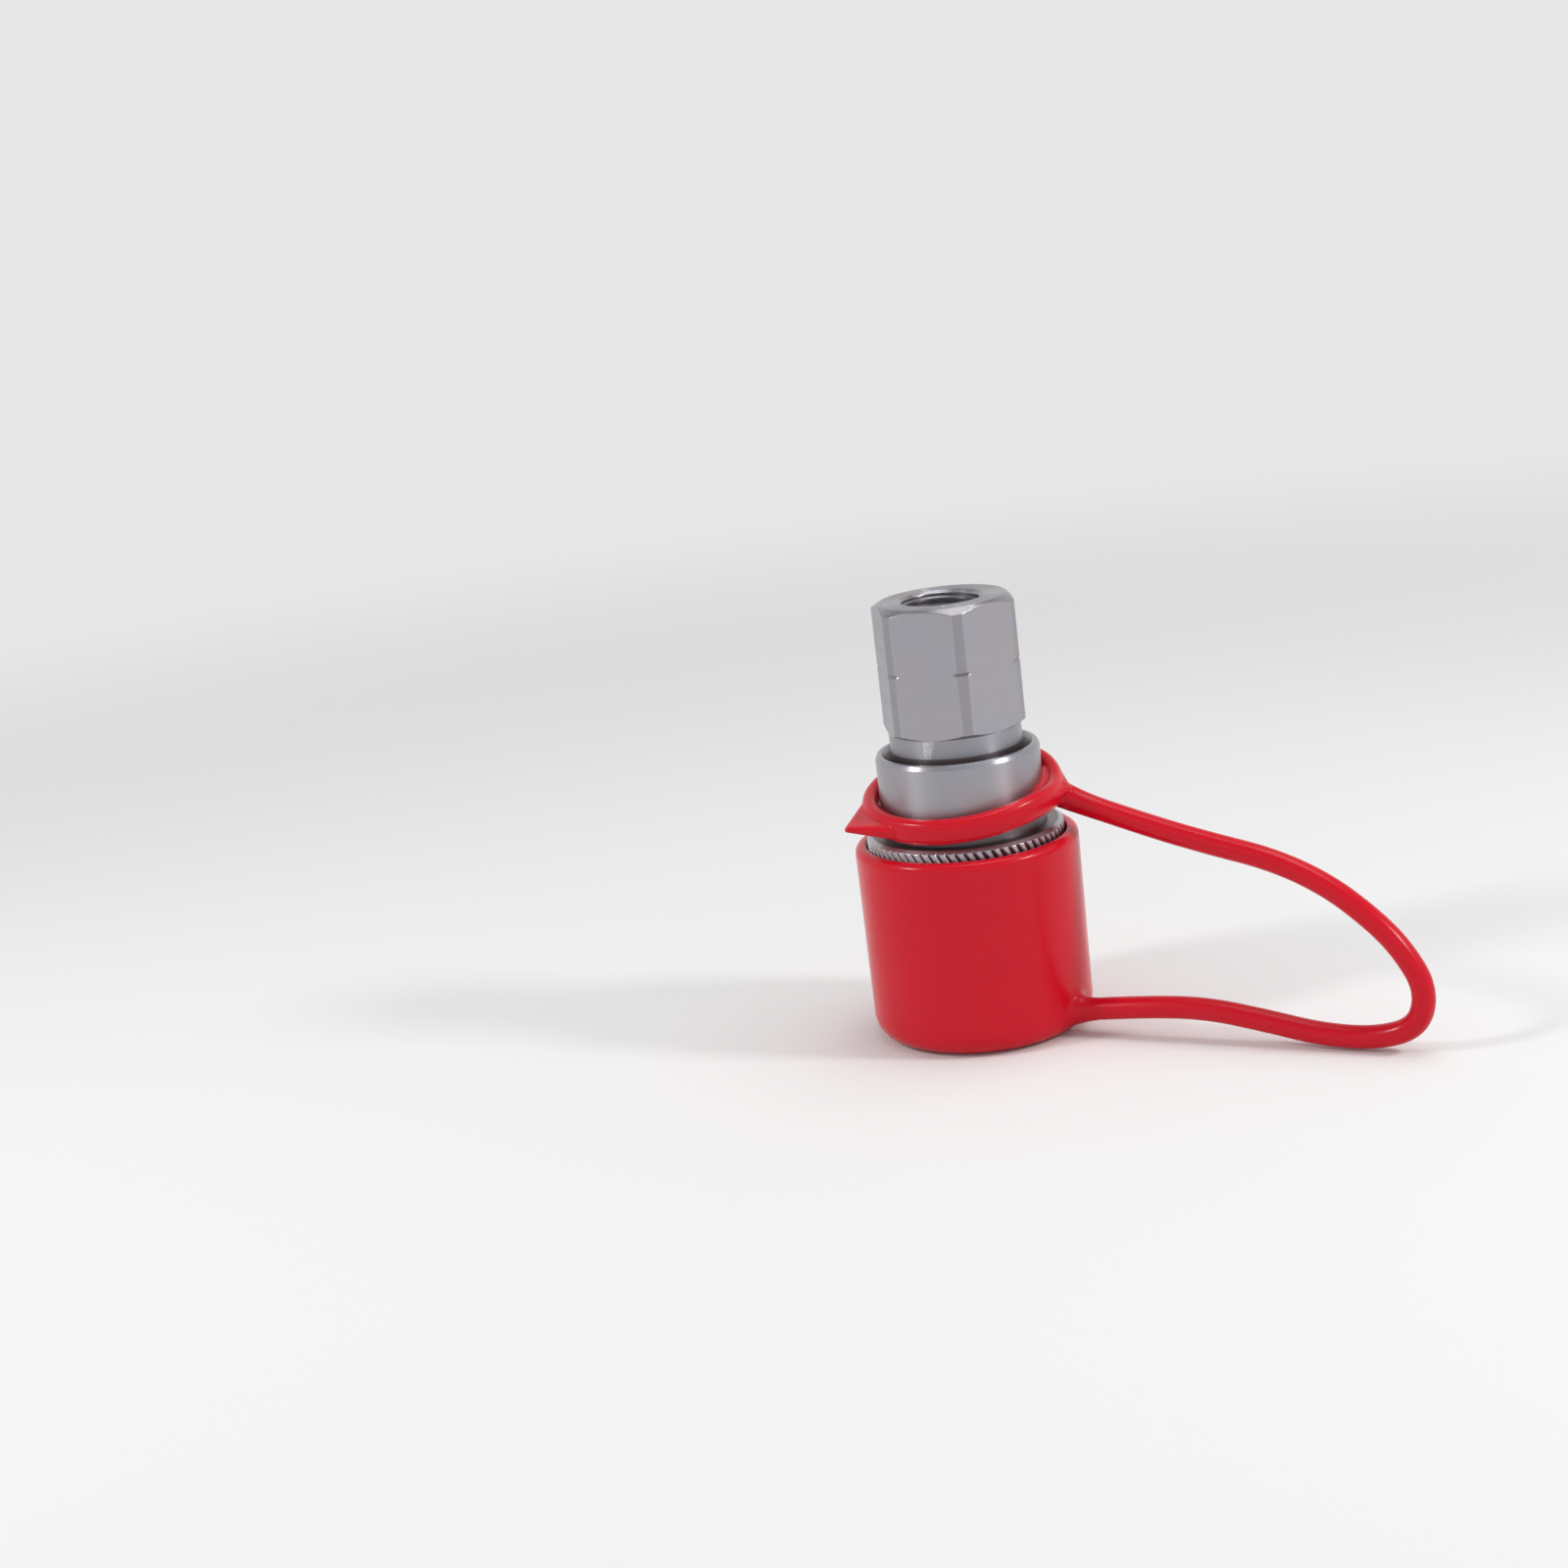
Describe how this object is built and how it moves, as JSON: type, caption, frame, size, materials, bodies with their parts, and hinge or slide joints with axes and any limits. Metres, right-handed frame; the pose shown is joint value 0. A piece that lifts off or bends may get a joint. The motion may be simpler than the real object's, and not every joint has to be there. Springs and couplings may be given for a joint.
{
  "type": "flat face hydraulic coupler",
  "caption": "Female half of a flat face hydraulic quick coupler: threaded hexagonal end, ball-lock sleeve, sprung flat valve and a dust cap on a looped tether strap.",
  "frame": {"origin": "middle of the dust cap's flat base, on the coupler's axis", "axes": "+Z along the coupler's axis, from its flat face towards its threaded port; +X towards the root of the tether strap on the cap"},
  "size_m": [0.1187, 0.0467, 0.0905],
  "materials": {
    "red_plastic": "soft moulded plastic, satin gloss",
    "plated_steel": "turned and milled steel, bright zinc plating",
    "spring_steel": "drawn spring wire",
    "ball_steel": "polished",
    "black_rubber": "moulded nitrile rubber",
    "white_plastic": "machined white plastic"
  },
  "bodies": {
    "cap": {"dust_cap": "red_plastic"},
    "tether": {"tether_ring": "red_plastic", "tether_strap": "red_plastic"},
    "coupler": {"coupler_body": "plated_steel", "end_adapter": "plated_steel", "stop_ring": "spring_steel", "locking_balls": "ball_steel", "sleeve_spring": "spring_steel", "face_ring_spring": "spring_steel", "valve_spring": "spring_steel", "valve_stem": "plated_steel", "stem_seal": "black_rubber", "stem_spider": "plated_steel", "stem_nut": "plated_steel", "spider_circlip": "spring_steel", "guide_seal": "black_rubber", "guide_backup_ring": "white_plastic", "adapter_seal": "black_rubber", "nose_seal": "black_rubber", "nose_backup_ring": "white_plastic"},
    "sleeve": {"lock_sleeve": "plated_steel"},
    "valve": {"valve_sleeve": "plated_steel"},
    "face": {"face_ring": "plated_steel"}
  },
  "joints": [
    {"name": "cap_pull", "type": "slide", "parent": "cap", "child": "tether", "axis": [0, 0, 1], "range_m": [0, 0.045]},
    {"name": "coupler_turn", "type": "hinge", "parent": "tether", "child": "coupler", "pos_m": [0, 0, 0], "axis": [0, 0, 1], "continuous": true},
    {"name": "sleeve_slide", "type": "slide", "parent": "coupler", "child": "sleeve", "axis": [0, 0, 1], "range_m": [0, 0.001], "stiffness_N_per_m": 3000, "springref_m": -0.006, "deforming": ["sleeve_spring"]},
    {"name": "valve_slide", "type": "slide", "parent": "coupler", "child": "valve", "axis": [0, 0, 1], "range_m": [0, 0.0075], "stiffness_N_per_m": 1500, "springref_m": -0.006, "deforming": ["valve_spring"]},
    {"name": "face_ring_slide", "type": "slide", "parent": "coupler", "child": "face", "axis": [0, 0, 1], "range_m": [0, 0.008], "stiffness_N_per_m": 1200, "springref_m": -0.006, "deforming": ["face_ring_spring"]}
  ]
}
